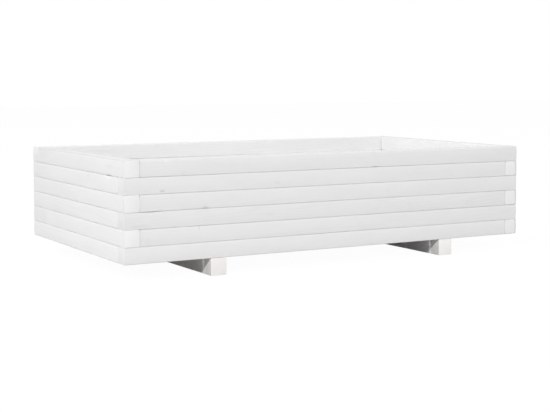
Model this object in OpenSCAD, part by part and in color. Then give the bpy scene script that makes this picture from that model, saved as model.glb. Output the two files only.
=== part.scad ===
// Raised garden bed: square planed timber stacked in courses on two feet, with a slatted floor.
// Each course runs round the bed like a pinwheel. Every beam runs through at one end and butts
// against its neighbour at the other, and the courses are laid as mirror images by turns.
// Origin: on the ground, at the middle of the bed. X runs along its length, Y to the back, Z up.

/* [Bed] */
// Overall length, left to right
bed_length = 1100; // [700:10:1800]
// Overall depth, front to back
bed_depth = 600; // [400:10:1000]

/* [Walls] */
// Side of the square beams
beam_side = 38; // [34:1:60]
// Courses in the stack, counted from the bottom
courses = 6; // [2:1:8]
// Easing planed along the long edges of the timber
edge_ease = 1.5; // [0.5:0.25:3]
// Easing sanded round the sawn ends
end_ease = 0.8; // [0.2:0.1:2]

/* [Feet] */
// Width of a foot, along the bed
foot_width = 40; // [34:1:80]
// Height of a foot
foot_height = 40; // [25:1:80]
// From the end of the bed to the outer face of a foot
foot_inset = 210; // [60:5:250]

/* [Floor] */
// Boards that lie lengthwise across the feet
floor_boards = 5; // [3:1:6]
// Thickness of a floor board
board_thickness = 18; // [12:1:25]
// Gap between neighbouring boards
board_gap = 3; // [1:0.5:8]
// Drainage gap between the outer boards and the long walls
wall_gap = 7; // [4:0.5:15]
// Clearance between a board's end and the short wall
board_end_gap = 4; // [1:0.5:20]

/* [Dowels] */
// Diameter of a beech dowel
dowel_d = 8; // [6:1:10]
// Length of a dowel, half of it in each beam
dowel_length = 30; // [20:2:32]
// From the outer wall faces to the dowels that stand in the corners
corner_dowel_inset = 11; // [9:0.5:14]
// From the middle of the bed to the dowels in the long walls
long_dowel_offset = 180; // [60:5:280]
// Room round a dowel for glue
dowel_clearance = 0.05; // [0.02:0.01:0.2]
// Room past each end of a dowel
dowel_end_gap = 1; // [0.5:0.25:1.5]

/* [Screws] */
// Shank diameter of the screws through the feet
foot_screw_d = 5; // [4:0.5:6]
// Head diameter of the screws through the feet
foot_screw_head_d = 10; // [8:0.5:12]
// How far a foot screw reaches into the bottom beam
foot_screw_bite = 20; // [12:1:22]
// Shank diameter of the floor screws
floor_screw_d = 4; // [3:0.5:5]
// Head diameter of the floor screws
floor_screw_head_d = 8; // [6:0.5:10]
// How far a floor screw reaches into the foot
floor_screw_bite = 17; // [10:1:20]
// From a board's edge to its screws
floor_screw_edge = 22; // [12:1:24]
// Depth of each head below the timber's surface
screw_sink = 0.5; // [0.2:0.1:1]
// Room round a screw and past its point
screw_clearance = 0.05; // [0.02:0.01:0.2]

/* [Hidden] */
$fn = 48;
half_length = bed_length / 2;
half_depth = bed_depth / 2;
foot_x = half_length - foot_inset - foot_width / 2;
foot_screw_y = half_depth - beam_side / 2;
inner_length = bed_length - 2 * beam_side;
inner_depth = bed_depth - 2 * beam_side;
board_length = inner_length - 2 * board_end_gap;
board_width = (inner_depth - 2 * wall_gap - (floor_boards - 1) * board_gap) / floor_boards;
dowel_chamfer = 0.8;
screw_rim = 0.4;
recess_width = 1;
recess_depth = 1.8;
overshoot = 1;

paint = "WhiteSmoke";
beech = "BurlyWood";
zinc = "LightSteelBlue";

// Height of a course's underside
function course_z(course) = foot_height + (course - 1) * beam_side;

// True where the left beam runs through to the front corner
function left_runs_through(course) = course % 2 == 0;

// Near edge of a floor board, counted from the front
function board_y(board) = wall_gap + (board - 1) * (board_width + board_gap) - inner_depth / 2;

// Rectangle from the origin with its corners cut at 45 degrees
module eased_rectangle(x, y, ease) {
    polygon([
        [ease, 0], [x - ease, 0], [x, ease], [x, y - ease],
        [x - ease, y], [ease, y], [0, y - ease], [0, ease]
    ]);
}

// Planed timber lying along X from the origin
module planed_bar(length, width, height) {
    intersection() {
        rotate([90, 0, 90]) linear_extrude(length) eased_rectangle(width, height, edge_ease);
        translate([0, width, 0]) rotate([90, 0, 0]) linear_extrude(width)
            eased_rectangle(length, height, end_ease);
        linear_extrude(height) eased_rectangle(length, width, end_ease);
    }
}

// Dowel standing on Z, its middle at the origin
module dowel() {
    r = dowel_d / 2;
    h = dowel_length / 2;
    rotate_extrude() polygon([
        [0, -h], [r - dowel_chamfer, -h], [r, dowel_chamfer - h],
        [r, h - dowel_chamfer], [r - dowel_chamfer, h], [0, h]
    ]);
}

// The hole drilled for a dowel, half in each beam
module dowel_hole() {
    cylinder(d = dowel_d + 2 * dowel_clearance, h = dowel_length + 2 * dowel_end_gap, center = true);
}

// Countersunk screw that points down from a surface at the origin, with a cross recess
module screw(d, head_d, length) {
    r = d / 2;
    head_r = head_d / 2;
    neck = screw_rim + head_r - r;
    translate([0, 0, -screw_sink]) difference() {
        rotate_extrude() polygon([
            [0, 0], [head_r, 0], [head_r, -screw_rim], [r, -neck],
            [r, d - length], [0, -length]
        ]);
        for (turn = [0, 90]) rotate([0, 0, turn])
            translate([-r, -recess_width / 2, -recess_depth])
                cube([d, recess_width, recess_depth + overshoot]);
    }
}

// The pilot hole and countersink for such a screw
module screw_hole(d, head_d, length) {
    r = d / 2 + screw_clearance;
    head_r = head_d / 2 + screw_clearance;
    neck = screw_rim + head_r - r;
    translate([0, 0, -screw_sink]) rotate_extrude() polygon([
        [0, screw_sink + overshoot], [head_r, screw_sink + overshoot], [head_r, -screw_rim],
        [r, -neck], [r, -length - screw_clearance], [0, -length - screw_clearance]
    ]);
}

// Puts a child at the four butt joints of a course, pointing along each butting beam
module at_butt_joints(course) {
    flip = left_runs_through(course) ? 0 : 1;
    for (turn = [0, 180]) rotate([0, 0, turn]) mirror([flip, 0, 0])
        translate([0, 0, course_z(course) + beam_side / 2]) {
            translate([beam_side - half_length, beam_side / 2 - half_depth, 0]) rotate([0, 90, 0]) children();
            translate([half_length - beam_side / 2, beam_side - half_depth, 0]) rotate([90, 0, 0]) children();
        }
}

// Puts a child where the dowels stand between a course and the next one up
module at_course_dowels(course) {
    corner_x = half_length - corner_dowel_inset;
    corner_y = half_depth - corner_dowel_inset;
    wall_x = half_length - beam_side / 2;
    wall_y = half_depth - beam_side / 2;
    spots = [
        [corner_x, corner_y], [corner_x, -corner_y],
        [long_dowel_offset, wall_y], [long_dowel_offset, -wall_y], [wall_x, 0]
    ];
    for (turn = [0, 180]) rotate([0, 0, turn]) for (spot = spots)
        translate([spot[0], spot[1], course_z(course + 1)]) children();
}

// Puts a child at the underside of the feet, pointing up into the walls
module at_foot_screws() {
    for (x = [-foot_x, foot_x]) for (y = [-foot_screw_y, foot_screw_y])
        translate([x, y, 0]) rotate([180, 0, 0]) children();
}

// Puts a child where one floor board is screwed to the feet
module at_floor_screws(board) {
    for (x = [-foot_x, foot_x]) for (edge = [floor_screw_edge, board_width - floor_screw_edge])
        translate([x, board_y(board) + edge, foot_height + board_thickness]) children();
}

module foot_screw() {
    screw(foot_screw_d, foot_screw_head_d, foot_height + foot_screw_bite);
}

module foot_screw_hole() {
    screw_hole(foot_screw_d, foot_screw_head_d, foot_height + foot_screw_bite);
}

module floor_screw() {
    screw(floor_screw_d, floor_screw_head_d, board_thickness + floor_screw_bite);
}

module floor_screw_hole() {
    screw_hole(floor_screw_d, floor_screw_head_d, board_thickness + floor_screw_bite);
}

// Everything that is drilled out of the beams of one course
module course_holes(course) {
    at_butt_joints(course) dowel_hole();
    if (course > 1) at_course_dowels(course - 1) dowel_hole();
    if (course < courses) at_course_dowels(course) dowel_hole();
    if (course == 1) at_foot_screws() foot_screw_hole();
}

module front_beam(course) {
    start = left_runs_through(course) ? beam_side : 0;
    color(paint) difference() {
        translate([start - half_length, -half_depth, course_z(course)])
            planed_bar(bed_length - beam_side, beam_side, beam_side);
        course_holes(course);
    }
}

module left_beam(course) {
    start = left_runs_through(course) ? 0 : beam_side;
    color(paint) difference() {
        translate([beam_side - half_length, start - half_depth, course_z(course)])
            rotate([0, 0, 90]) planed_bar(bed_depth - beam_side, beam_side, beam_side);
        course_holes(course);
    }
}

module back_beam(course) {
    rotate([0, 0, 180]) front_beam(course);
}

module right_beam(course) {
    rotate([0, 0, 180]) left_beam(course);
}

module foot(x) {
    color(paint) difference() {
        translate([x + foot_width / 2, -half_depth, 0])
            rotate([0, 0, 90]) planed_bar(bed_depth, foot_width, foot_height);
        at_foot_screws() foot_screw_hole();
        for (board = [1:floor_boards]) at_floor_screws(board) floor_screw_hole();
    }
}

module left_foot() {
    foot(-foot_x);
}

module right_foot() {
    foot(foot_x);
}

module floor_board(board) {
    color(paint) difference() {
        translate([-board_length / 2, board_y(board), foot_height])
            planed_bar(board_length, board_width, board_thickness);
        at_floor_screws(board) floor_screw_hole();
    }
}

module butt_dowels(course) {
    color(beech) at_butt_joints(course) dowel();
}

module course_dowels(course) {
    color(beech) at_course_dowels(course) dowel();
}

module foot_screws() {
    color(zinc) at_foot_screws() foot_screw();
}

module floor_screws() {
    color(zinc) for (board = [1:floor_boards]) at_floor_screws(board) floor_screw();
}

for (course = [1:courses]) {
    front_beam(course);
    right_beam(course);
    back_beam(course);
    left_beam(course);
    butt_dowels(course);
}
for (course = [1:courses - 1]) {
    course_dowels(course);
}
left_foot();
right_foot();
for (board = [1:floor_boards]) {
    floor_board(board);
}
foot_screws();
floor_screws();
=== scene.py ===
"""Raised garden bed of planed timber painted white: six courses on two feet, with a slatted floor.

Each beam, foot and floor board is worked as its own bar in the space of its CAD node, with rounded
arrises, a slight crown and real holes for its dowels and screws. One kind of paint, a little warmer on
the feet, dresses them all. It reads the wood, knots, marks and ends of each bar from attributes that
the bar carries, as well as the shade and light that are painted on its arrises, ends and some patches.
"""

import logging
import math
import random
from collections.abc import Iterator
from dataclasses import dataclass, field
from enum import Enum

import bmesh
import bpy
import numpy as np
from bmesh.types import BMEdge, BMesh
from bpy.types import ID, Material, Mesh, Node, NodeSocket, Object, World
from mathutils import Euler, Matrix, Vector


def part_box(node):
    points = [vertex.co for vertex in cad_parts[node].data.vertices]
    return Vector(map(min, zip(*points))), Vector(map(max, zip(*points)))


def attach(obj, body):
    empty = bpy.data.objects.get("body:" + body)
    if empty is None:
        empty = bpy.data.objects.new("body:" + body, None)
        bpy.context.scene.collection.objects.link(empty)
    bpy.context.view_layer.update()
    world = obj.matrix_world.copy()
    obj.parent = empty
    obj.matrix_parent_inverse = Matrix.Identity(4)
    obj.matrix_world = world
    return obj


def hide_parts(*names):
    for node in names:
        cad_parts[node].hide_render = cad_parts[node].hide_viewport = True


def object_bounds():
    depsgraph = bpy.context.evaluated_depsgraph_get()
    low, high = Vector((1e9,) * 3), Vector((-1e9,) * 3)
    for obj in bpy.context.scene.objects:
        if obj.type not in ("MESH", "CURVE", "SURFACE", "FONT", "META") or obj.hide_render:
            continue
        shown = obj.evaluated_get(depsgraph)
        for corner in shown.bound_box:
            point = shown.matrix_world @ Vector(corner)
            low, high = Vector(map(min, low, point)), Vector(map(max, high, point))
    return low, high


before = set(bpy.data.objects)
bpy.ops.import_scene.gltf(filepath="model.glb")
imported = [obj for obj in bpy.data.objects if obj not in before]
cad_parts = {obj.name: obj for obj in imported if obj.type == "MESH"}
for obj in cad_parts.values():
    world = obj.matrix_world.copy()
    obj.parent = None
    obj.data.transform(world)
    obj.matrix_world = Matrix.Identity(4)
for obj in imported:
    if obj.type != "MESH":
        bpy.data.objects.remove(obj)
CAD_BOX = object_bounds()
log = logging.getLogger("garden_bed")

Triple = tuple[float, float, float]
Colour = tuple[float, float, float, float]

MM = 0.001
BODY = "root"
COURSES = 6
BED_START = CAD_BOX[0]
# Points closer than this are welded into one
WELD = 0.001 * MM
# Share of an edge's length that follows its axis, from which it counts as lying along it
STRAIGHT = 0.999
# Share of an arris's radius over which its tone rises to full
ARC_RISE = 0.36
# How fast the waves along a bar get shorter, and about the greatest sum of them
WAVE_SPACING = 0.83
WAVE_PEAK = 1.6
# What a point without a knot or mark carries: a place far from its middle, and no strength
NOTHING_NEAR = (9.0, 9.0, 0.0)


def mm(*lengths: float) -> tuple[float, ...]:
    """Turns millimetres into metres."""
    return tuple(length * MM for length in lengths)


def as_mesh(name: str, shape: BMesh) -> Mesh:
    """Turns a finished shape into a mesh.

    Args:
        name: Name of the mesh.
        shape: The shape, which is freed.

    Returns:
        The mesh.
    """
    made = bpy.data.meshes.new(name)
    shape.to_mesh(made)
    shape.free()
    return made


def placed(name: str, data: ID) -> Object:
    """Puts a mesh, lamp or camera in the scene.

    Args:
        name: Name of the object.
        data: The mesh, lamp or camera.

    Returns:
        The object.
    """
    made = bpy.data.objects.new(name, data)
    bpy.context.scene.collection.objects.link(made)
    return made


class Side(Enum):
    """The side of a bar: the axis that it faces, and the way along that axis."""

    LEFT = (0, -1)
    RIGHT = (0, 1)
    FRONT = (1, -1)
    BACK = (1, 1)
    BOTTOM = (2, -1)
    TOP = (2, 1)

    @property
    def axis(self) -> int:
        """Index of the axis that this side faces."""
        return self.value[0]

    @property
    def sign(self) -> int:
        """Way along the axis, -1 or 1."""
        return self.value[1]


class Run(Enum):
    """The way that a bar's grain runs: the axis along it and the axis across it."""

    LENGTHWISE = (0, 1)
    DEPTHWISE = (1, 0)

    @property
    def along(self) -> int:
        """Index of the axis that the grain follows."""
        return self.value[0]

    @property
    def across(self) -> int:
        """Index of the level axis square to the grain."""
        return self.value[1]


@dataclass(frozen=True)
class Knot:
    """A knot that shows through the paint.

    Its place is measured along the grain from the bed's front-left corner, and up from the
    bar's lower edge, or from its front or left edge on a top or bottom.
    """

    side: Side
    along: float
    up: float
    radius: float
    strength: float
    stretch: float = 1.3


@dataclass(frozen=True)
class Blemish:
    """A patch where the paint is darker, with a tone below 0, or lighter, with one above 0.

    Its place is measured as a knot's is. A slope tilts it against the grain. Some patches are
    painted shade or painted light rather than marks in the paint.
    """

    side: Side
    along: float
    up: float
    half_length: float
    half_height: float
    tone: float
    slope: float = 0.0


@dataclass(frozen=True)
class Chip:
    """A stretch of an upper or lower arris that is broken away, or fuller with a depth below 0.

    Its place is measured along the grain, as a knot's is.
    """

    side: Side
    upper: bool
    along: float
    half_length: float
    depth: float


@dataclass(frozen=True)
class End:
    """A sawn end: how much lighter it is than the faces, and how far its edges fall back.

    Its upright arrises have one tone where it runs through to a corner, and another where it butts
    against a beam. There the faces beside the joint take a tone as well. The outer edge of the end
    itself, along the corner of the bed, has one more. These tones are painted shade below 0 and
    painted light above 0. The end's own tone is partly the lighter paint of end grain and partly
    painted light and shade.
    """

    tone: float = 0.0
    across: float = 0.5 * MM
    up: float = 0.5 * MM
    # corner, joint, beside_joint and outer_edge: painted shade below 0, painted light above 0
    corner: float = 0.0
    joint: float = 0.0
    beside_joint: float = 0.0
    outer_edge: float = 0.0


@dataclass(frozen=True)
class WearAndPaintedShade:
    """How the beams of one wall are worn, with painted shade: their crown and ends, and their arris tones.

    Each course has a tone of its own, listed from the bottom course up, which is partly painted light
    and shade that evens out how brightly the courses are lit.
    """

    crown: float
    ends: tuple[End, End]
    # Arris tones: painted shade in the crevices between courses, under the wall and on the rim; light above
    # 0
    lower_seat: float
    upper_seat: float
    underside: float
    rim: float
    courses: tuple[float, ...]
    rim_fall: float = 0.0
    end_arris: float = 0.4 * MM


class Shade:
    """A number that varies over a surface, for use in plain arithmetic."""

    def __init__(self, graph: "Graph", socket: NodeSocket) -> None:
        """Wraps one output socket of a graph."""
        self.graph = graph
        self.socket = socket

    def __add__(self, other: "Shade | float") -> "Shade":
        """Sum."""
        return self.graph.maths("ADD", self, other)

    def __radd__(self, other: float) -> "Shade":
        """Sum with a plain number first."""
        return self.graph.maths("ADD", other, self)

    def __sub__(self, other: "Shade | float") -> "Shade":
        """Difference."""
        return self.graph.maths("SUBTRACT", self, other)

    def __rsub__(self, other: float) -> "Shade":
        """Difference with a plain number first."""
        return self.graph.maths("SUBTRACT", other, self)

    def __mul__(self, other: "Shade | float") -> "Shade":
        """Product."""
        return self.graph.maths("MULTIPLY", self, other)

    def __rmul__(self, other: float) -> "Shade":
        """Product with a plain number first."""
        return self.graph.maths("MULTIPLY", other, self)

    def __truediv__(self, other: "Shade | float") -> "Shade":
        """Quotient."""
        return self.graph.maths("DIVIDE", self, other)

    def __pow__(self, other: "Shade | float") -> "Shade":
        """Power."""
        return self.graph.maths("POWER", self, other)


class Graph:
    """The node tree of a material or of the world."""

    def __init__(self, owner: Material | World) -> None:
        """Empties the node tree of its owner.

        Args:
            owner: What the tree belongs to.
        """
        owner.use_nodes = True
        self.tree = owner.node_tree
        self.tree.nodes.clear()

    def add(self, kind: str, settings: dict | None = None, inputs: dict | None = None) -> Node:
        """Adds one node.

        Args:
            kind: The node's type, without its ShaderNode prefix.
            settings: Properties of the node itself, set before its sockets.
            inputs: Values or links of its sockets, by name or index.

        Returns:
            The new node.
        """
        node = self.tree.nodes.new("ShaderNode" + kind)
        for name, value in (settings or {}).items():
            setattr(node, name, value)
        for name, value in (inputs or {}).items():
            if isinstance(value, Shade):
                value = value.socket
            if isinstance(value, NodeSocket):
                self.tree.links.new(value, node.inputs[name])
            else:
                node.inputs[name].default_value = value
        return node

    def maths(self, operation: str, *values: Shade | float) -> Shade:
        """Works out one operation of a Math node on one to three values."""
        node = self.add("Math", {"operation": operation}, dict(enumerate(values)))
        return Shade(self, node.outputs[0])

    def step(self, value: Shade, low: float, high: float) -> Shade:
        """Rises smoothly from 0 to 1, or falls where low is the greater.

        Args:
            value: The number that is looked at.
            low: Where the step is 0.
            high: Where it is 1.

        Returns:
            The step, between 0 and 1.
        """
        ends = {"From Min": min(low, high), "From Max": max(low, high), "Value": value}
        node = self.add("MapRange", {"interpolation_type": "SMOOTHSTEP"}, ends)
        rise = Shade(self, node.outputs[0])
        return 1 - rise if low > high else rise

    def wave(self, angle: Shade) -> Shade:
        """A sine wave between 0 and 1."""
        return self.maths("SINE", angle) * 0.5 + 0.5

    def distance(self, across: Shade, up: Shade) -> Shade:
        """How far a place is from a middle, both ways together."""
        return self.maths("SQRT", across * across + up * up)

    def attribute(self, name: str) -> NodeSocket:
        """The vector that a piece carries under a name."""
        return self.add("Attribute", {"attribute_name": name}).outputs["Vector"]

    def parts(self, vector: NodeSocket) -> tuple[Shade, Shade, Shade]:
        """Splits a vector into its three numbers."""
        node = self.add("SeparateXYZ", inputs={0: vector})
        return tuple(Shade(self, socket) for socket in node.outputs)

    def noise(self, vector: NodeSocket, by: Triple, detail: float) -> Shade:
        """Makes cloudy noise about 0.5.

        Args:
            vector: The place on the surface, in metres.
            by: Features per metre along each axis.
            detail: How many finer layers are added.

        Returns:
            The noise, between 0 and 1.
        """
        place = self.add("VectorMath", {"operation": "MULTIPLY"}, {0: vector, 1: by}).outputs[0]
        inputs = {"Vector": place, "Scale": 1.0, "Detail": detail, "Roughness": 0.55}
        return Shade(self, self.add("TexNoise", inputs=inputs).outputs[0])

    def blend(self, first: object, second: object, factor: Shade | float) -> NodeSocket:
        """Mixes two colours, or links to them, by a factor."""
        settings = {"data_type": "RGBA", "clamp_factor": True}
        return self.add("Mix", settings, {0: factor, 6: first, 7: second}).outputs[2]

    def tinted(self, colour: Colour, by: Shade) -> NodeSocket:
        """Multiplies a colour by a number.

        Args:
            colour: The colour.
            by: The number.

        Returns:
            A link to the product.
        """
        grey = self.add("CombineColor", inputs={0: by, 1: by, 2: by}).outputs[0]
        settings = {"data_type": "RGBA", "blend_type": "MULTIPLY"}
        return self.add("Mix", settings, {0: 1.0, 6: colour, 7: grey}).outputs[2]

    def bump(self, height: Shade, relief: float, strength: float = 1.0) -> NodeSocket:
        """The normal of a surface that is raised by a height of up to the relief, in metres."""
        inputs = {"Strength": strength, "Distance": relief, "Height": height}
        return self.add("Bump", inputs=inputs).outputs[0]

    def coat(
        self, colour: NodeSocket, roughness: Shade, normal: NodeSocket, others: dict | None = None
    ) -> None:
        """Ends a material in one Principled shader.

        Args:
            colour: Link to the base colour.
            roughness: How rough the surface is.
            normal: Link to the normal.
            others: Values of further sockets, by name.
        """
        inputs = {"Base Color": colour, "Roughness": roughness, "Normal": normal}
        self.finish(self.add("BsdfPrincipled", inputs=inputs | (others or {})).outputs[0])

    def finish(self, shader: NodeSocket, output: str = "OutputMaterial") -> None:
        """Joins a shader to the output."""
        self.add(output, inputs={"Surface": shader})


@dataclass(frozen=True)
class Finish:
    """The look of one kind of surface.

    A grain gives a pattern's features per metre along each axis.
    """

    name: str

    def material(self) -> Material:
        """Makes the material.

        Returns:
            The new material.
        """
        made = bpy.data.materials.new(self.name)
        self.shade(Graph(made))
        return made

    def shade(self, graph: Graph) -> None:
        """Adds the nodes of the finish, which each kind has of its own."""
        raise NotImplementedError


@dataclass(frozen=True)
class PaintedTimber(Finish):
    """White paint brushed over planed softwood, whose grain and knots show through a little."""

    name: str = "white painted timber"
    paint: Colour = (0.815, 0.813, 0.814, 1.0)
    thin_paint: Colour = (0.70, 0.675, 0.63, 1.0)
    knot_stain: Colour = (0.35, 0.34, 0.325, 1.0)
    fibre_grain: Triple = (5.0, 420.0, 420.0)
    cloud_grain: Triple = (7.0, 26.0, 26.0)
    brush_grain: Triple = (9.0, 1300.0, 1300.0)
    pore_grain: Triple = (900.0, 900.0, 900.0)
    drift_grain: Triple = (2.2, 22.0, 22.0)
    knot_grain: Triple = (160.0, 260.0, 260.0)
    mark_grain: Triple = (60.0, 420.0, 420.0)
    ring_width: float = 3.2 * MM
    ring_drift: float = 2.4
    ring_swirl: float = 0.9
    ring_edge: float = 2.2
    ring_depth: float = 0.018
    fibre_depth: float = 0.014
    cloud_depth: float = 0.032
    pore_depth: float = 0.03
    mark_range: float = 0.3
    thinning: float = 0.5
    roughness: float = 0.6
    sheen: float = 0.2
    relief: float = 0.12 * MM

    def shade(self, graph: Graph) -> None:
        """Makes the finish from the attributes wood, knot, mark and surface of each bar.

        Args:
            graph: Where the nodes go.
        """
        wood = graph.attribute("wood")
        end, arris, tone = graph.parts(graph.attribute("surface"))
        knot, knot_rings, halo = self._knot(graph, wood)
        rings = self._rings(graph, wood, halo)
        fibre = graph.noise(wood, self.fibre_grain, 3.0)
        cloud = graph.noise(wood, self.cloud_grain, 2.0)
        brush = graph.noise(wood, self.brush_grain, 1.0)
        pores = graph.noise(wood, self.pore_grain, 2.0)

        shading = 1 - rings * self.ring_depth - (fibre - 0.5) * self.fibre_depth * 2
        # tone brings the lighter end grain and the painted shade and light of each bar
        shading = shading + (cloud - 0.5) * self.cloud_depth * 2 + tone
        shading = shading - graph.step(pores, 0.62, 0.75) * end * self.pore_depth
        # Patches, some of them painted shade or painted light
        shading = shading * (1 + self._marks(graph, wood) * self.mark_range)
        colour = graph.tinted(self.paint, shading)
        rubbed = arris * (0.5 + fibre * 0.5) + (cloud - 0.5) * 0.9
        worn = graph.step(rubbed, 0.95, 1.35) * self.thinning
        colour = graph.blend(colour, self.thin_paint, worn)
        colour = graph.blend(colour, self.knot_stain, knot)

        # Each part's share of the relief, and how much rougher loose fibre, ends and worn paint are
        height = rings * 0.35 + (fibre - 0.5) * 0.5 + brush * 0.18 + knot_rings * 0.5 + pores * end * 0.4
        rough = self.roughness + (fibre - 0.5) * 0.12 + end * 0.12 + worn * 0.1
        graph.coat(colour, rough, graph.bump(height, self.relief), {"Specular IOR Level": self.sheen})

    def _rings(self, graph: Graph, wood: NodeSocket, halo: Shade) -> Shade:
        """Works out the growth rings, which give streaks on the faces and arcs on the ends.

        Args:
            graph: Where the nodes go.
            wood: The place in the tree, with the pith along the first axis.
            halo: 1 where a knot turns the grain aside, falling to 0 away from it.

        Returns:
            1 in the dark late wood of each ring, 0 between.
        """
        _, across, up = graph.parts(wood)
        drift = graph.noise(wood, self.drift_grain, 2.0) * self.ring_drift
        turns = graph.distance(across, up) / self.ring_width + drift + halo * self.ring_swirl
        return graph.wave(turns * math.tau) ** self.ring_edge

    def _knot(self, graph: Graph, wood: NodeSocket) -> tuple[Shade, Shade, Shade]:
        """Works out a knot, whose places are measured in its own radii.

        Args:
            graph: Where the nodes go.
            wood: The place in the tree.

        Returns:
            The knot's stain, its own rings and the swirl of the grain round it.
        """
        across, up, strength = graph.parts(graph.attribute("knot"))
        ragged = graph.noise(wood, self.knot_grain, 2.0)
        reach = graph.distance(across, up) + (ragged - 0.5) * 0.5
        present = graph.step(strength, 0.0, 0.04)
        heart = graph.step(reach, 1.15, 0.55) * strength
        rim = graph.step(reach, 0.6, 0.95) * graph.step(reach, 1.35, 1.0) * strength * 0.45
        own_rings = graph.wave(reach * 15.0) * graph.step(reach, 1.4, 1.0) * present
        halo = graph.step(reach, 3.2, 0.9) * present
        return heart + rim, own_rings, halo

    def _marks(self, graph: Graph, wood: NodeSocket) -> Shade:
        """Works out soft darker and lighter patches, some painted shade or light, broken up along the
        grain.

        Args:
            graph: Where the nodes go.
            wood: The place in the tree.

        Returns:
            The tone of the patch, or 0 away from one.
        """
        across, up, tone = graph.parts(graph.attribute("mark"))
        breakup = graph.noise(wood, self.mark_grain, 3.0)
        reach = graph.distance(across, up) + (breakup - 0.5) * 0.9
        return graph.step(reach, 1.1, 0.15) * tone


@dataclass(frozen=True)
class Beech(Finish):
    """Bare beech, with short flecks along each dowel."""

    name: str = "bare beech"
    pale: Colour = (0.66, 0.47, 0.30, 1.0)
    dark: Colour = (0.46, 0.29, 0.16, 1.0)
    fleck_grain: Triple = (700.0, 700.0, 160.0)
    fibre_grain: Triple = (320.0, 320.0, 40.0)
    relief: float = 0.05 * MM

    def shade(self, graph: Graph) -> None:
        """Makes the finish from Object coordinates.

        Args:
            graph: Where the nodes go.
        """
        place = graph.add("TexCoord").outputs["Object"]
        fleck = graph.noise(place, self.fleck_grain, 3.0)
        fibre = graph.noise(place, self.fibre_grain, 3.0)
        colour = graph.blend(self.pale, self.dark, graph.step(fleck, 0.55, 0.72) * 0.6 + fibre * 0.25)
        graph.coat(colour, 0.55 + fibre * 0.15, graph.bump(fleck, self.relief, 0.6))


@dataclass(frozen=True)
class Zinc(Finish):
    """Bright zinc plate on steel screws, slightly mottled."""

    name: str = "zinc plated steel"
    bright: Colour = (0.72, 0.73, 0.75, 1.0)
    dull: Colour = (0.50, 0.51, 0.53, 1.0)
    mottle_grain: Triple = (420.0, 420.0, 420.0)
    scratch_grain: Triple = (3000.0, 900.0, 900.0)
    relief: float = 0.02 * MM

    def shade(self, graph: Graph) -> None:
        """Makes the finish from Object coordinates.

        Args:
            graph: Where the nodes go.
        """
        place = graph.add("TexCoord").outputs["Object"]
        mottle = graph.noise(place, self.mottle_grain, 3.0)
        scratch = graph.noise(place, self.scratch_grain, 1.0)
        colour = graph.blend(self.bright, self.dull, graph.step(mottle, 0.35, 0.75))
        graph.coat(colour, 0.26 + mottle * 0.22, graph.bump(scratch, self.relief, 0.4), {"Metallic": 1.0})


@dataclass(frozen=True)
class Fixing:
    """One dowel or screw as the frame holds it."""

    low: Vector
    high: Vector

    @property
    def centre(self) -> Vector:
        """Middle of its box."""
        return (self.low + self.high) / 2

    @property
    def size(self) -> Vector:
        """Sides of its box."""
        return self.high - self.low

    @property
    def axis(self) -> int:
        """Index of the axis that it lies along."""
        return max(range(3), key=lambda i: self.size[i])

    @property
    def length(self) -> float:
        """Length along its axis."""
        return self.size[self.axis]

    @property
    def radius(self) -> float:
        """Half its greatest width."""
        return self.size[(self.axis + 1) % 3] / 2

    def reaches(self, low: Vector, high: Vector) -> bool:
        """True if it lies partly inside a box."""
        return all(self.low[i] < high[i] and self.high[i] > low[i] for i in range(3))


def fixings_of(node: str) -> list[Fixing]:
    """Finds the separate solids of a CAD node.

    Args:
        node: Name of a node that holds several alike solids.

    Returns:
        Each solid's box.
    """
    mesh = bmesh.new()
    mesh.from_mesh(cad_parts[node].data)
    bmesh.ops.remove_doubles(mesh, verts=mesh.verts, dist=WELD)
    waiting = set(mesh.verts)
    found = []
    while waiting:
        start = waiting.pop()
        solid = [start]
        for vert in solid:
            for edge in vert.link_edges:
                other = edge.other_vert(vert)
                if other in waiting:
                    waiting.remove(other)
                    solid.append(other)
        corners = np.array([vert.co for vert in solid])
        found.append(Fixing(Vector(corners.min(0)), Vector(corners.max(0))))
    mesh.free()
    return sorted(found, key=lambda fixing: tuple(round(value, 4) for value in fixing.centre))


def turned(profile: list[tuple[float, float]], centre: Vector, axis: int, up: int, sides: int) -> BMesh:
    """Turns an outline round its axis into a closed solid.

    Args:
        profile: Radius and height of each point, from one pole to the other.
        centre: Where height 0 lies.
        axis: Index of the axis that the solid is turned on.
        up: 1 where height grows along the axis, or -1.
        sides: Number of sides.

    Returns:
        The solid.
    """
    mesh = bmesh.new()
    verts = [mesh.verts.new((radius, 0, height)) for radius, height in profile]
    edges = [mesh.edges.new(pair) for pair in zip(verts, verts[1:])]
    round_z = {"cent": (0, 0, 0), "axis": (0, 0, 1), "angle": math.tau}
    bmesh.ops.spin(mesh, geom=verts + edges, steps=sides, use_merge=True, **round_z)
    bmesh.ops.remove_doubles(mesh, verts=mesh.verts, dist=WELD)
    bmesh.ops.recalc_face_normals(mesh, faces=mesh.faces)
    way = Vector([up if i == axis else 0 for i in range(3)])
    turn = way.to_track_quat("Z", "Y").to_matrix().to_4x4()
    bmesh.ops.transform(mesh, matrix=Matrix.Translation(centre) @ turn, verts=mesh.verts)
    return mesh


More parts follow.
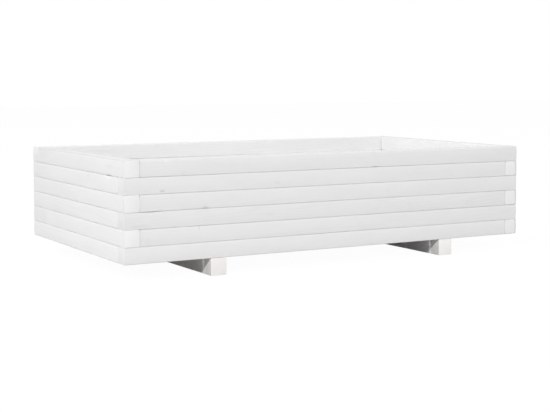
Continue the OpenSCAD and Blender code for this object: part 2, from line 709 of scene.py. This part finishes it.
@dataclass
class Fixings:
    """The dowels and screws, which keep their CAD nodes and drill the bars that they pass through."""

    sides: int = 32
    clearance: float = 0.05 * MM
    dowel_end_gap: float = 1.0 * MM
    screw_sink: float = 0.5 * MM
    screw_rim: float = 0.4 * MM
    overshoot: float = 1.0 * MM
    dowels: list[Fixing] = field(default_factory=list)
    foot_screws: list[Fixing] = field(default_factory=list)
    floor_screws: list[Fixing] = field(default_factory=list)

    def find(self) -> None:
        """Reads every dowel and screw from the frame."""
        for node in self.dowel_nodes():
            self.dowels += fixings_of(node)
        self.foot_screws = fixings_of("foot_screws")
        self.floor_screws = fixings_of("floor_screws")

    @staticmethod
    def dowel_nodes() -> list[str]:
        """Names of the CAD nodes that hold dowels."""
        butts = [f"butt_dowels_{course}" for course in range(1, COURSES + 1)]
        return butts + [f"course_dowels_{course}" for course in range(1, COURSES)]

    def dress(self, beech: Material, zinc: Material) -> None:
        """Gives the CAD nodes of the dowels and screws their finishes.

        Args:
            beech: Finish of the dowels.
            zinc: Finish of the screws.
        """
        finishes = {node: beech for node in self.dowel_nodes()}
        finishes |= {"foot_screws": zinc, "floor_screws": zinc}
        for node, finish in finishes.items():
            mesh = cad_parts[node].data
            mesh.materials.clear()
            mesh.materials.append(finish)
            log.info("finished %s", node)

    def drills(self, low: Vector, high: Vector) -> Mesh | None:
        """Makes the solids to be cut from one bar.

        Args:
            low: Lowest corner of the bar.
            high: Highest corner of the bar.

        Returns:
            One mesh of all the holes, or None where nothing passes through.
        """
        solids = [self._dowel_hole(fixing) for fixing in self.dowels if fixing.reaches(low, high)]
        solids += [self._screw_hole(fixing, -1) for fixing in self.foot_screws if fixing.reaches(low, high)]
        solids += [self._screw_hole(fixing, 1) for fixing in self.floor_screws if fixing.reaches(low, high)]
        if not solids:
            return None
        whole = bmesh.new()
        for solid in solids:
            part = as_mesh("drill", solid)
            whole.from_mesh(part)
            bpy.data.meshes.remove(part)
        return as_mesh("drills", whole)

    def _dowel_hole(self, dowel: Fixing) -> BMesh:
        """Makes the hole that holds a dowel, with room for glue.

        Args:
            dowel: The dowel.

        Returns:
            The solid to be cut away.
        """
        radius = dowel.radius + self.clearance
        half = dowel.length / 2 + self.dowel_end_gap
        profile = [(0, -half), (radius, -half), (radius, half), (0, half)]
        return turned(profile, dowel.centre, dowel.axis, 1, self.sides)

    def _screw_hole(self, screw: Fixing, up: int) -> BMesh:
        """Makes the pilot hole and countersink of a screw.

        Args:
            screw: The screw.
            up: 1 where its head faces up, -1 where it faces down.

        Returns:
            The solid to be cut away.
        """
        head = screw.radius + self.clearance
        shank = screw.radius / 2 + self.clearance
        top = self.screw_sink + self.overshoot
        neck = -self.screw_rim - head + shank
        bottom = -screw.length - self.clearance
        countersink = [(0, top), (head, top), (head, -self.screw_rim), (shank, neck)]
        rim = screw.centre.copy()
        rim.z += up * screw.length / 2
        return turned(countersink + [(shank, bottom), (0, bottom)], rim, 2, up, self.sides)


@dataclass
class Bar:
    """One planed bar that stands for a CAD node.

    A pair of numbers belongs to the lower and the upper arrises, or is a range for random draws.
    The first of the two ends is the left or the front one.
    """

    node: str
    run: Run
    seed: int
    slot: str
    arris: float = 1.2 * MM
    arris_steps: int = 3
    end_arris: float = 0.4 * MM
    end_arris_steps: int = 2
    crease: float = math.radians(40)
    grid: float = 4.0 * MM
    cross_grid: float = 5.5 * MM
    side_crown: float = 0.0
    top_crown: float = 0.0
    wander: float = 0.12 * MM
    wander_wave: float = 0.35
    arris_wander: tuple[float, float] = (0.1 * MM, 0.25 * MM)
    arris_wave: float = 0.11
    arris_waves: int = 6
    arris_fall: tuple[float, float] = (0.0, 0.0)
    arris_reach: float = 5.0 * MM
    ends: tuple[End, End] = (End(), End())
    end_reach: float = 4.0 * MM
    joint_reach: float = 6.0 * MM
    side_reach: float = 1.5 * MM
    # tone is partly painted light and shade; arris_tones are painted shade in crevices, light above 0
    tone: float = 0.0
    arris_tones: tuple[float, float] = (0.0, 0.0)
    # A chip's depth also paints it darker, a painted shade; a fuller arris is painted lighter
    chip_shade: float = 0.12
    chips: list[Chip] = field(default_factory=list)
    blemishes: list[Blemish] = field(default_factory=list)
    blemish_reach: float = 5.0
    blemish_fade: float = 2.0
    knots: list[Knot] = field(default_factory=list)
    knot_reach: float = 4.2
    knot_fade: float = 1.2
    knot_sides: tuple[Side, ...] = ()
    knot_counts: tuple[int, ...] = (0, 1, 1, 2)
    knot_radii_mm: tuple[float, float] = (2.5, 5.5)
    knot_strengths: tuple[float, float] = (0.03, 0.12)
    pith_distances_mm: tuple[float, float] = (18.0, 60.0)
    pith_leans: tuple[float, float] = (-0.02, 0.02)
    pith_rise: float = 0.4
    wood_length: float = 40.0

    def __post_init__(self) -> None:
        """Takes the bar's box from its node, and seeds its random draws."""
        self.low, self.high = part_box(self.node)
        self.centre = (self.low + self.high) / 2
        self.half = (self.high - self.low) / 2
        self.random = random.Random(self.seed)

    def build(self, finish: Material, fixings: Fixings) -> Object:
        """Makes the bar and puts it in the place of its node.

        Args:
            finish: The paint.
            fixings: The dowels and screws that may pass through it.

        Returns:
            The new piece.
        """
        piece = placed("painted_" + self.node, self._planed())
        self._drill(piece, fixings)
        self._describe(piece.data)
        self._weather(piece.data)
        piece.data.materials.clear()
        piece.data.materials.append(finish)
        piece.data.shade_smooth()
        piece.data.set_sharp_from_angle(angle=self.crease)
        even = piece.modifiers.new("even light on the wide faces", "WEIGHTED_NORMAL")
        even.keep_sharp = True
        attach(piece, BODY)
        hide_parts(self.node)
        log.info("built %s with %d faces", self.node, len(piece.data.polygons))
        return piece

    def _planed(self) -> Mesh:
        """Makes a bar with rounded arrises, cut into a grid fine enough to be shaped.

        Returns:
            The bar's mesh, in its place.
        """
        mesh = bmesh.new()
        bmesh.ops.create_cube(mesh, size=1.0)
        bmesh.ops.scale(mesh, vec=self.half * 2, verts=mesh.verts)
        long_edges = [edge for edge in mesh.edges if self._lies_along(edge, self.run.along)]
        self._round(mesh, long_edges, self.arris, self.arris_steps)
        end_edges = [edge for edge in mesh.edges if not self._lies_along(edge, self.run.along)]
        self._round(mesh, end_edges, self.end_arris, self.end_arris_steps)
        for axis in (self.run.along, self.run.across, 2):
            step = self.grid if axis == self.run.along else self.cross_grid
            cuts = max(2, round(self.half[axis] * 2 / step)) - 1
            edges = [edge for edge in mesh.edges if self._lies_along(edge, axis)]
            bmesh.ops.subdivide_edges(mesh, edges=edges, cuts=cuts, use_grid_fill=True)
        bmesh.ops.translate(mesh, vec=self.centre, verts=mesh.verts)
        return as_mesh("painted_" + self.node, mesh)

    @staticmethod
    def _round(mesh: BMesh, edges: list[BMEdge], radius: float, segments: int) -> None:
        """Rounds edges of a mesh."""
        shape = {"segments": segments, "profile": 0.5, "affect": "EDGES", "material": -1}
        bmesh.ops.bevel(mesh, geom=edges, offset=radius, **shape)

    def _lies_along(self, edge: BMEdge, axis: int) -> bool:
        """True for an edge that follows an axis over most of the bar's side."""
        span = edge.verts[1].co - edge.verts[0].co
        return abs(span[axis]) > self.half[axis] and abs(span[axis]) > span.length * STRAIGHT

    def _drill(self, piece: Object, fixings: Fixings) -> None:
        """Cuts the holes for the dowels and screws.

        Args:
            piece: The bar.
            fixings: Every dowel and screw of the bed.
        """
        drills = fixings.drills(self.low, self.high)
        if drills is None:
            return
        cutter = placed("cutter", drills)
        cut = piece.modifiers.new("holes", "BOOLEAN")
        cut.solver = "MANIFOLD"
        cut.object = cutter
        bpy.context.view_layer.update()
        whole = piece.evaluated_get(bpy.context.evaluated_depsgraph_get())
        drilled = bpy.data.meshes.new_from_object(whole)
        piece.modifiers.clear()
        old = piece.data
        piece.data = drilled
        drilled.name = old.name
        bpy.data.meshes.remove(old)
        bpy.data.objects.remove(cutter)
        bpy.data.meshes.remove(drills)

    @staticmethod
    def _places(mesh: Mesh) -> np.ndarray:
        """Reads the points of a mesh.

        Args:
            mesh: The mesh.

        Returns:
            One row for each point.
        """
        places = np.empty(len(mesh.vertices) * 3)
        mesh.vertices.foreach_get("co", places)
        return places.reshape(-1, 3)

    def _describe(self, mesh: Mesh) -> None:
        """Writes the attributes that the paint reads: wood, surface, knot and mark.

        Args:
            mesh: The bar's mesh.
        """
        places = self._places(mesh)
        local = places - np.array(self.centre)
        along, across = self.run.along, self.run.across
        pith = math.tau * self.random.random()
        distance = self.random.uniform(*self.pith_distances_mm) * MM
        lean = self.random.uniform(*self.pith_leans)
        wood = np.empty_like(local)
        wood[:, 0] = local[:, along] + self.random.uniform(0, self.wood_length)
        wood[:, 1] = local[:, across] + distance * math.cos(pith) + lean * local[:, along]
        wood[:, 2] = local[:, 2] + distance * math.sin(pith) + lean * self.pith_rise * local[:, along]

        surface = np.zeros_like(local)
        depth = self.half[along] - np.abs(local[:, along])
        surface[:, 0] = np.clip(1 - depth / self.end_arris, 0, 1)
        surface[:, 1] = self._arris_closeness(local)
        # Lighter end grain, and painted shade and light on the arrises and ends
        surface[:, 2] = self._tones(places, local, surface[:, 0])

        for name, values in (
            ("wood", wood),
            ("surface", surface),
            ("knot", self._knot_field(places)),
            ("mark", self._mark_field(places)),
        ):
            layer = mesh.attributes.new(name, "FLOAT_VECTOR", "POINT")
            layer.data.foreach_set("vector", values.ravel())

    def _weather(self, mesh: Mesh) -> None:
        """Moves the grid's points: crown, domed ends, uneven arrises and chips.

        Args:
            mesh: The bar's mesh.
        """
        places = self._places(mesh)
        local = places - np.array(self.centre)
        half = np.array(self.half)
        along, across = self.run.along, self.run.across
        reach = np.abs(local) / half
        near = self._arris_closeness(local)

        shift = np.zeros_like(local)
        wander = self._waves(local[:, along], self.wander_wave) * self.wander
        shift[:, across] += (wander - self.side_crown * reach[:, 2] ** 2) * reach[:, across] ** 4
        shift[:, 2] -= self.top_crown * reach[:, across] ** 2 * reach[:, 2] ** 4
        for nearest, side, top in self._long_arrises(local):
            upper = int(top > 0)
            uneven = self._waves(local[:, along], self.arris_wave, self.arris_waves) * 0.5 + 0.5
            worn = uneven * self.arris_wander[upper] + self.arris_fall[upper]
            worn = worn + self._chipped(places, side, top)
            shift[:, across] -= np.where(nearest, worn * near, 0)
            shift[:, 2] -= np.where(nearest, worn * near, 0)
        at_end = np.clip(1 - (half[along] - np.abs(local[:, along])) / self.end_reach, 0, 1)
        first = local[:, along] < 0
        for end, butts, there in zip(self.ends, self._butting(), (first, ~first)):
            if not butts:
                dome = reach[:, across] ** 2 * end.across + reach[:, 2] ** 2 * end.up
                shift[:, along] -= np.where(there, dome * at_end, 0)
        mesh.vertices.foreach_set("co", (places + np.sign(local) * shift).ravel())
        mesh.update()

    def _waves(self, along: np.ndarray, longest: float, count: int = 4) -> np.ndarray:
        """Sums a few slow waves along the bar.

        Args:
            along: Places along the bar, in metres.
            longest: Longest wavelength.
            count: Number of waves.

        Returns:
            The sum at each place, about between -1 and 1.
        """
        total = np.zeros_like(along)
        for order in range(count):
            wavelength = longest / (1 + WAVE_SPACING * order) * self.random.uniform(0.8, 1.2)
            phase = self.random.uniform(0, math.tau)
            total += np.sin(along / wavelength * math.tau + phase) / (1 + order)
        return total / WAVE_PEAK

    def _long_arrises(self, local: np.ndarray) -> Iterator[tuple[np.ndarray, int, int]]:
        """Goes round the four long arrises.

        Args:
            local: Points of the mesh from the bar's middle.

        Yields:
            Which points are nearest to the arris, and its way across and up: -1 or 1.
        """
        way = np.sign(local)
        for side in (-1, 1):
            for top in (-1, 1):
                yield (way[:, self.run.across] == side) & (way[:, 2] == top), side, top

    def _chipped(self, places: np.ndarray, side: int, top: int) -> np.ndarray:
        """Depth of the chips on one long arris.

        Args:
            places: Points of the mesh.
            side: -1 or 1, the side of the bar that the arris lies on.
            top: -1 for the lower arris, 1 for the upper.

        Returns:
            The depth at each point, in metres.
        """
        depth = np.zeros(len(places))
        for chip in self.chips:
            if chip.side.axis == self.run.across and chip.side.sign == side and chip.upper == (top > 0):
                along = places[:, self.run.along] - BED_START[self.run.along]
                depth += chip.depth * np.exp(-(((along - chip.along) / chip.half_length) ** 2))
        return depth

    def _butting(self) -> tuple[bool, bool]:
        """Tells which ends stop short of the bed's outer faces.

        Returns:
            True for the first and for the last end where it does.
        """
        along = self.run.along
        outside = (CAD_BOX[0][along], CAD_BOX[1][along])
        return tuple(abs(here[along] - face) > MM for here, face in zip((self.low, self.high), outside))

    def _arris_closeness(self, local: np.ndarray) -> np.ndarray:
        """Tells how close points are to a long arris.

        Args:
            local: Points of the mesh from the bar's middle.

        Returns:
            1 on the arrises, falling to 0 a few millimetres in.
        """
        inset = np.array(self.half) - np.abs(local)
        reach = inset[:, self.run.across] + inset[:, 2]
        return np.clip(1 - (reach - self.arris) / self.arris_reach, 0, 1)

    def _tones(self, places: np.ndarray, local: np.ndarray, at_end: np.ndarray) -> np.ndarray:
        """Lighter end grain, and painted shade and light on the ends and the arrises that meet other
        timber.

        Args:
            places: Points of the mesh.
            local: The same points from the bar's middle.
            at_end: 1 on the ends, 0 on the faces.

        Returns:
            What is added to the paint's shade at each point.
        """
        along, across = self.run.along, self.run.across
        inset = np.array(self.half) - np.abs(local)
        first = local[:, along] < 0
        outer = (local[:, across] * self.centre[across] > 0) & (inset[:, across] < self.end_arris + MM)
        ends = [end.tone + end.outer_edge * outer for end in self.ends]
        tones = self.tone + at_end * np.where(first, *ends)

        # Painted shade in the crevices between courses and under the wall, deeper at a chip; light above 0
        chipped = np.zeros(len(local))
        for nearest, side, top in self._long_arrises(local):
            chipped += np.where(nearest, self._chipped(places, side, top), 0)
        level = np.where(local[:, 2] < 0, *self.arris_tones)
        seats = level - chipped / MM * self.chip_shade
        tones += seats * self._arc(self.arris, inset[:, across], inset[:, 2])

        # Painted shade on upright arrises at corners and joints, and on faces beside a joint; light above 0
        butting = self._butting()
        upright = [end.joint if butts else end.corner for end, butts in zip(self.ends, butting)]
        tones += np.where(first, *upright) * self._arc(self.end_arris, inset[:, along], inset[:, across])
        beside = [end.beside_joint if butts else 0.0 for end, butts in zip(self.ends, butting)]
        tones += np.where(first, *beside) * np.clip(1 - inset[:, along] / self.joint_reach, 0, 1)
        return tones + level * self._arc(self.end_arris, inset[:, along], inset[:, 2])

    @staticmethod
    def _arc(radius: float, first: np.ndarray, second: np.ndarray) -> np.ndarray:
        """1 in the middle of a rounded arris and 0 on its faces, from the insets from both faces."""
        return np.clip((radius - first - second) / (ARC_RISE * radius), 0, 1)

    def _on_side(self, places: np.ndarray, side: Side) -> tuple[np.ndarray, np.ndarray, np.ndarray]:
        """Measures places on one side of the bar.

        Args:
            places: Points of the mesh.
            side: The side to measure on.

        Returns:
            Which points lie on that side, how far along the bed they are, and how far up the side.
        """
        plane = (self.high if side.sign > 0 else self.low)[side.axis]
        there = np.abs(places[:, side.axis] - plane) < self.arris + self.side_reach
        rise = 2 if side.axis != 2 else self.run.across
        along = places[:, self.run.along] - BED_START[self.run.along]
        return there, along, places[:, rise] - self.low[rise]

    def _knot_field(self, places: np.ndarray) -> np.ndarray:
        """Finds the nearest knot.

        Args:
            places: Points of the mesh.

        Returns:
            For each point its distances along and up from the knot's middle, in the knot's own
            radii, and the knot's strength.
        """
        nearest = np.tile(NOTHING_NEAR, (len(places), 1))
        for knot in self.knots + self._random_knots():
            there, along, up = self._on_side(places, knot.side)
            across = (along - knot.along) / (knot.radius * knot.stretch)
            rise = (up - knot.up) / knot.radius
            fade = np.clip((self.knot_reach - np.hypot(across, rise)) / self.knot_fade, 0, 1)
            there &= knot.strength * fade > nearest[:, 2]
            nearest[there] = np.stack([across, rise, knot.strength * fade], 1)[there]
        return nearest

    def _mark_field(self, places: np.ndarray) -> np.ndarray:
        """Finds the blemish that a point lies in. A later one covers an earlier one.

        Args:
            places: Points of the mesh.

        Returns:
            For each point its distances along and up from the blemish's middle, in the blemish's own
            half sizes, and the blemish's tone.
        """
        nearest = np.tile(NOTHING_NEAR, (len(places), 1))
        for mark in self.blemishes:
            there, along, up = self._on_side(places, mark.side)
            offset = along - mark.along
            across = offset / mark.half_length
            rise = (up - mark.up - mark.slope * offset) / mark.half_height
            reach = np.hypot(across, rise)
            there &= reach < self.blemish_reach
            fade = np.clip((self.blemish_reach - reach) / self.blemish_fade, 0, 1)
            nearest[there] = np.stack([across, rise, mark.tone * fade], 1)[there]
        return nearest

    def _random_knots(self) -> list[Knot]:
        """Scatters a few faint knots over the sides that show.

        Returns:
            The knots.
        """
        knots = []
        start = self.low[self.run.along] - BED_START[self.run.along]
        for side in self.knot_sides:
            height = self.half[2 if side.axis != 2 else self.run.across] * 2
            for _ in range(self.random.choice(self.knot_counts)):
                along = start + self.random.uniform(0.05, 0.95) * self.half[self.run.along] * 2
                up = self.random.uniform(0.15, 0.85) * height
                radius = self.random.uniform(*self.knot_radii_mm) * MM
                strength = self.random.uniform(*self.knot_strengths)
                knots.append(Knot(side, along, up, radius, strength))
        return knots


@dataclass
class Walls:
    """The four walls: in each course a front, a right, a back and a left beam laid like a pinwheel."""

    course_seed: int = 100
    sides: tuple[Side, ...] = (Side.FRONT, Side.RIGHT, Side.BACK, Side.LEFT)

    def build(self, finish: Material, fixings: Fixings) -> None:
        """Makes the twenty-four beams.

        Args:
            finish: The paint.
            fixings: The dowels and screws that hold them.
        """
        for course in range(1, COURSES + 1):
            for order, side in enumerate(self.sides):
                self._beam(course, side, self.course_seed * course + order).build(finish, fixings)

    def _beam(self, course: int, side: Side, seed: int) -> Bar:
        """Describes one beam.

        Args:
            course: Its course, counted from the bottom.
            side: The wall that it lies in.
            seed: Seed of its random draws.

        Returns:
            The bar, not yet built.
        """
        wear_and_shade = self.wear_and_shade()[side]
        inner = Side((side.axis, -side.sign))
        return Bar(
            node=f"{side.name.lower()}_beam_{course}",
            run=Run.LENGTHWISE if side.axis == 1 else Run.DEPTHWISE,
            seed=seed,
            slot="wall_timber",
            side_crown=wear_and_shade.crown,
            end_arris=wear_and_shade.end_arris,
            arris_fall=(0.0, wear_and_shade.rim_fall if course == COURSES else 0.0),
            ends=wear_and_shade.ends,
            # Course tone, partly painted light and shade, and arris tones, painted shade in the crevices
            tone=wear_and_shade.courses[course - 1],
            arris_tones=(
                wear_and_shade.underside if course == 1 else wear_and_shade.lower_seat,
                wear_and_shade.rim if course == COURSES else wear_and_shade.upper_seat,
            ),
            knots=self.knots().get((side, course), []),
            blemishes=self.blemishes().get((side, course), []),
            chips=self.chips().get((side, course), []),
            # On the outer faces of the front and left walls the photograph shows every knot
            knot_sides=(inner,) if side in (Side.FRONT, Side.LEFT) else (side, inner),
        )

    @staticmethod
    def wear_and_shade() -> dict[Side, WearAndPaintedShade]:
        """Says the beams' wear and painted shade. Their first end is the left or the front one.

        Returns:
            The wear of each wall.
        """
        return {
            Side.FRONT: WearAndPaintedShade(
                crown=1.0 * MM,
                ends=(
                    End(-0.035, *mm(0.2, 1.1), corner=-0.02, joint=-0.04, beside_joint=-0.05),
                    End(joint=-0.3),
                ),
                lower_seat=0.18,
                upper_seat=-0.27,
                underside=-0.22,
                rim=0.0,
                rim_fall=0.26 * MM,
                courses=(0.016, 0.0, -0.016, -0.008, -0.014, -0.026),
            ),
            Side.BACK: WearAndPaintedShade(
                crown=0.25 * MM,
                ends=(End(0.01, *mm(0.3, 0.3)), End()),
                lower_seat=0.06,
                upper_seat=-0.22,
                underside=-0.22,
                rim=0.04,
                courses=(0.01, -0.01, 0.015, 0.0, 0.03, 0.045),
            ),
            Side.LEFT: WearAndPaintedShade(
                crown=0.4 * MM,
                ends=(End(0.065, *mm(1.6, 0.5), corner=-0.42, joint=0.3), End(0.02)),
                lower_seat=0.12,
                upper_seat=-0.22,
                underside=-0.4,
                rim=-0.16,
                courses=(0.03, 0.022, 0.006, 0.0, 0.0, -0.01),
            ),
            Side.RIGHT: WearAndPaintedShade(
                crown=0.3 * MM,
                ends=(End(0.08, *mm(0.3, 0.5), corner=-0.2, outer_edge=-0.22), End(0.02)),
                end_arris=1.8 * MM,
                lower_seat=0.06,
                upper_seat=-0.22,
                underside=-0.22,
                rim=0.04,
                courses=(0.012, -0.015, 0.0, -0.01, -0.005, 0.012),
            ),
        }

    @staticmethod
    def knots() -> dict[tuple[Side, int], list[Knot]]:
        """Lists the knots that the photograph shows.

        Returns:
            The knots by wall and course.
        """
        front, left = Side.FRONT, Side.LEFT
        return {
            (front, 2): [Knot(front, *mm(58, 12, 6), 0.03)],
            (front, 3): [Knot(front, *mm(755, 19, 5), 0.03), Knot(front, *mm(939, 14, 5), 0.03)],
            (front, 4): [Knot(front, *mm(692, 16, 5), 0.03)],
            (front, 5): [Knot(front, *mm(91, 6, 2.4), 0.3, 2.5)],
            (front, 6): [Knot(front, *mm(143, 4, 3), 0.06)],
            (left, 5): [Knot(left, *mm(210, 29, 4), 0.1)],
        }

    @staticmethod
    def blemishes() -> dict[tuple[Side, int], list[Blemish]]:
        """Lists the patches that the photograph shows, some of them painted shade or painted light.

        Returns:
            The patches by wall and course.
        """
        front, back, left, right, top = Side.FRONT, Side.BACK, Side.LEFT, Side.RIGHT, Side.TOP
        return {
            (front, 2): [Blemish(front, *mm(181, 34, 3, 10), -0.36)],
            (front, 3): [
                Blemish(front, *mm(34, 7, 30, 4.5), -0.22),
                Blemish(front, *mm(363, 16, 16, 2), -0.2),
            ],
            (front, 4): [Blemish(front, *mm(1040, 12, 120, 30), 0.08)],
            (front, 5): [
                Blemish(front, *mm(15, 9, 8, 1.6), -0.2),
                Blemish(front, *mm(54, 8, 11, 1.6), -0.16),
                Blemish(front, *mm(382, 12, 12, 4), -0.15),
                Blemish(front, *mm(885, 7, 14, 3), -0.08),
            ],
            (front, 6): [
                Blemish(front, *mm(363, 18, 8, 2), 0.08),
                # Painted shade that darkens the top face under the light from above
                Blemish(top, *mm(0, 19, 800, 120), -0.2),
            ],
            # Painted light along the inner upper arris, lifting the shade in the crevice below course 6
            (back, 5): [Blemish(front, *mm(850, 38, 560, 2), 0.9)],
            (back, 6): [
                # Painted shade on the inner face towards the right-hand corner
                Blemish(front, *mm(1100, 30, 500, 90), -0.13),
                Blemish(front, *mm(186, 22, 62, 4), -0.14, -0.03),
                Blemish(left, *mm(0, 8, 20, 22), -0.25),
            ],
            (right, 6): [
                # Painted shade on the inner face towards its back end
                Blemish(left, *mm(560, 19, 130, 60), -0.17),
                Blemish(left, *mm(398, 16, 16, 3), -0.08),
            ],
            (left, 1): [Blemish(left, *mm(255, 10, 14, 3), -0.08)],
            (left, 2): [Blemish(left, *mm(530, 16, 45, 30), -0.13)],
            (left, 3): [Blemish(left, *mm(290, 27, 80, 3), 0.1, -0.1)],
            (left, 4): [
                Blemish(left, *mm(229, 11, 12, 3), -0.08),
                Blemish(left, *mm(318, 25, 45, 3), 0.1, -0.1),
            ],
            (left, 5): [Blemish(left, *mm(575, 6, 50, 9), -0.12)],
            (left, 6): [
                Blemish(left, *mm(85, 21, 30, 5), -0.16),
                Blemish(left, *mm(520, 28, 60, 16), -0.1),
                # Painted shade that darkens the top face under the light from above
                Blemish(top, *mm(300, 19, 900, 120), -0.24),
            ],
        }

    @staticmethod
    def chips() -> dict[tuple[Side, int], list[Chip]]:
        """Lists the broken or fuller arrises that the photograph shows.

        Returns:
            The chips by wall and course.
        """
        front, back, left = Side.FRONT, Side.BACK, Side.LEFT
        return {
            (front, 3): [Chip(front, True, *mm(64, 22, 1.0))],
            (front, 4): [Chip(front, False, *mm(198, 6, 1.1))],
            (front, 6): [Chip(front, True, *mm(97, 5, 1.6)), Chip(front, False, *mm(657, 9, 1.1))],
            # A fuller arris that fills the crevice; its depth below 0 also paints it lighter, a painted
            # light
            (back, 6): [Chip(front, False, *mm(850, 300, -0.25))],
            (left, 5): [Chip(left, True, *mm(88, 16, 0.9))],
            (left, 6): [Chip(left, False, *mm(88, 14, 0.4))],
        }


@dataclass
class Feet:
    """The two battens that run from front to back under the walls."""

    seed: int = 900
    crown: float = 0.3 * MM
    # End tones: lighter end grain, and painted light that brightens the ends
    front_ends: tuple[End, End] = (End(0.11), End(0.16))
    back_end: End = End(0.07)

    def build(self, finish: Material, fixings: Fixings) -> None:
        """Makes both feet.

        Args:
            finish: The paint.
            fixings: The screws that hold them.
        """
        for order, side in enumerate(("left", "right")):
            foot = Bar(
                node=f"{side}_foot",
                run=Run.DEPTHWISE,
                seed=self.seed + order,
                slot="foot_timber",
                side_crown=self.crown,
                ends=(self.front_ends[order], self.back_end),
                knot_sides=(Side.LEFT, Side.RIGHT),
            )
            foot.build(finish, fixings)


@dataclass
class Floor:
    """The boards that lie lengthwise across the feet."""

    boards: int = 5
    seed: int = 950
    arris: float = 1.6 * MM
    crown: float = 0.3 * MM
    grid: float = 8.0 * MM

    def build(self, finish: Material, fixings: Fixings) -> None:
        """Makes the floor boards.

        Args:
            finish: The paint.
            fixings: The screws that hold them.
        """
        for board in range(1, self.boards + 1):
            bar = Bar(
                node=f"floor_board_{board}",
                run=Run.LENGTHWISE,
                seed=self.seed + board,
                slot="floor_timber",
                arris=self.arris,
                grid=self.grid,
                cross_grid=self.grid,
                top_crown=self.crown,
                knot_sides=(Side.TOP, Side.TOP, Side.BOTTOM),
            )
            bar.build(finish, fixings)


@dataclass(frozen=True)
class Softbox:
    """A square lamp that faces the bed."""

    name: str
    place: Triple
    power: float
    side: float
    colour: Triple = (1.0, 1.0, 1.0)


@dataclass(frozen=True)
class Studio:
    """White sweep, even daylight, soft lamps and the camera of the photograph."""

    sky: float = 0.46
    ground_bounce: Colour = (0.445, 0.44, 0.435, 1.0)
    ground_glow: float = 0.972
    ground_shadow: float = 0.036
    ground_half: float = 14.0
    lamps_aim: Triple = (-0.2, -0.1, 0.15)
    lamps: tuple[Softbox, ...] = (
        Softbox("key", (-4.0, -3.4, 2.67), 150.0, 0.25),
        Softbox("above left", (-4.81, 0.6, 6.66), 219.0, 0.25),
        Softbox("front", (0.7, -2.6, 0.9), 16.0, 0.8, (1.0, 0.985, 0.99)),
        Softbox("right", (6.0, 0.8, 1.4), 60.0, 1.4),
        Softbox("back", (-2.5, 7.0, 2.6), 40.0, 1.5),
    )
    lens: float = 80.2446
    sensor: float = 36.0
    shift: float = -0.1
    camera_place: Triple = (-1.5726, -2.752, 0.4531)
    camera_yaw: float = 29.701
    camera_pitch: float = 3.562

    def build(self) -> None:
        """Sets up the whole studio."""
        self._ground()
        self._daylight()
        self._lamps()
        self._camera()
        bpy.context.scene.view_settings.view_transform = "Standard"

    @staticmethod
    def _seen(graph: Graph) -> Shade:
        """Tells what the camera sees directly, in a reflection or through something clear.

        Args:
            graph: Where the nodes go.

        Returns:
            1 for what is seen, 0 for the light that falls on the object.
        """
        rays = graph.add("LightPath").outputs
        seen = Shade(graph, rays["Is Camera Ray"]) + Shade(graph, rays["Is Glossy Ray"])
        return graph.maths("MINIMUM", seen + Shade(graph, rays["Is Transmission Ray"]), 1.0)

    def _ground(self) -> None:
        """Makes the floor, white to the eye, which still takes the object's shadow."""
        mesh = bmesh.new()
        bmesh.ops.create_grid(mesh, x_segments=1, y_segments=1, size=self.ground_half)
        ground = placed("ground", as_mesh("ground", mesh))
        white = bpy.data.materials.new("white sweep")
        graph = Graph(white)
        bounce = graph.add("BsdfDiffuse", inputs={"Color": self.ground_bounce})
        shadow = graph.add("BsdfDiffuse", inputs={"Color": (*[self.ground_shadow] * 3, 1)})
        glow = graph.add("Emission", inputs={"Strength": self.ground_glow})
        shown = graph.add("AddShader", inputs={0: shadow.outputs[0], 1: glow.outputs[0]})
        both = {0: self._seen(graph), 1: bounce.outputs[0], 2: shown.outputs[0]}
        graph.finish(graph.add("MixShader", inputs=both).outputs[0])
        ground.data.materials.append(white)

    def _daylight(self) -> None:
        """Makes the world: even light, and pure white where it is seen."""
        world = bpy.data.worlds.new("daylight")
        bpy.context.scene.world = world
        graph = Graph(world)
        strength = self._seen(graph) * (1 - self.sky) + self.sky
        sky = graph.add("Background", inputs={"Color": (1, 1, 1, 1), "Strength": strength})
        graph.finish(sky.outputs[0], "OutputWorld")

    def _lamps(self) -> None:
        """Adds the soft lamps, each turned to the bed."""
        for lamp in self.lamps:
            data = bpy.data.lights.new(lamp.name, "AREA")
            data.energy = lamp.power
            data.size = lamp.side
            data.color = lamp.colour
            made = placed(lamp.name, data)
            made.location = lamp.place
            aim = Vector(self.lamps_aim) - Vector(lamp.place)
            made.rotation_euler = aim.to_track_quat("-Z", "Y").to_euler()

    def _camera(self) -> None:
        """Places the camera of the photograph."""
        data = bpy.data.cameras.new("camera")
        data.lens = self.lens
        data.sensor_width = self.sensor
        data.shift_y = self.shift
        camera = placed("camera", data)
        camera.location = self.camera_place
        turn = (math.radians(90 - self.camera_pitch), 0, math.radians(-self.camera_yaw))
        camera.rotation_euler = Euler(turn)
        bpy.context.scene.camera = camera


def main() -> None:
    """Builds the bed and its studio."""
    logging.basicConfig(level=logging.INFO, format="%(name)s: %(message)s")
    Studio().build()
    fixings = Fixings()
    fixings.find()
    fixings.dress(Beech().material(), Zinc().material())
    wall_paint = PaintedTimber().material()
    warm_white = (0.827, 0.813, 0.802, 1.0)
    foot_paint = PaintedTimber(name="warm white painted timber", paint=warm_white).material()
    Feet().build(foot_paint, fixings)
    Walls().build(wall_paint, fixings)
    Floor().build(wall_paint, fixings)


if __name__ == "__main__":
    main()
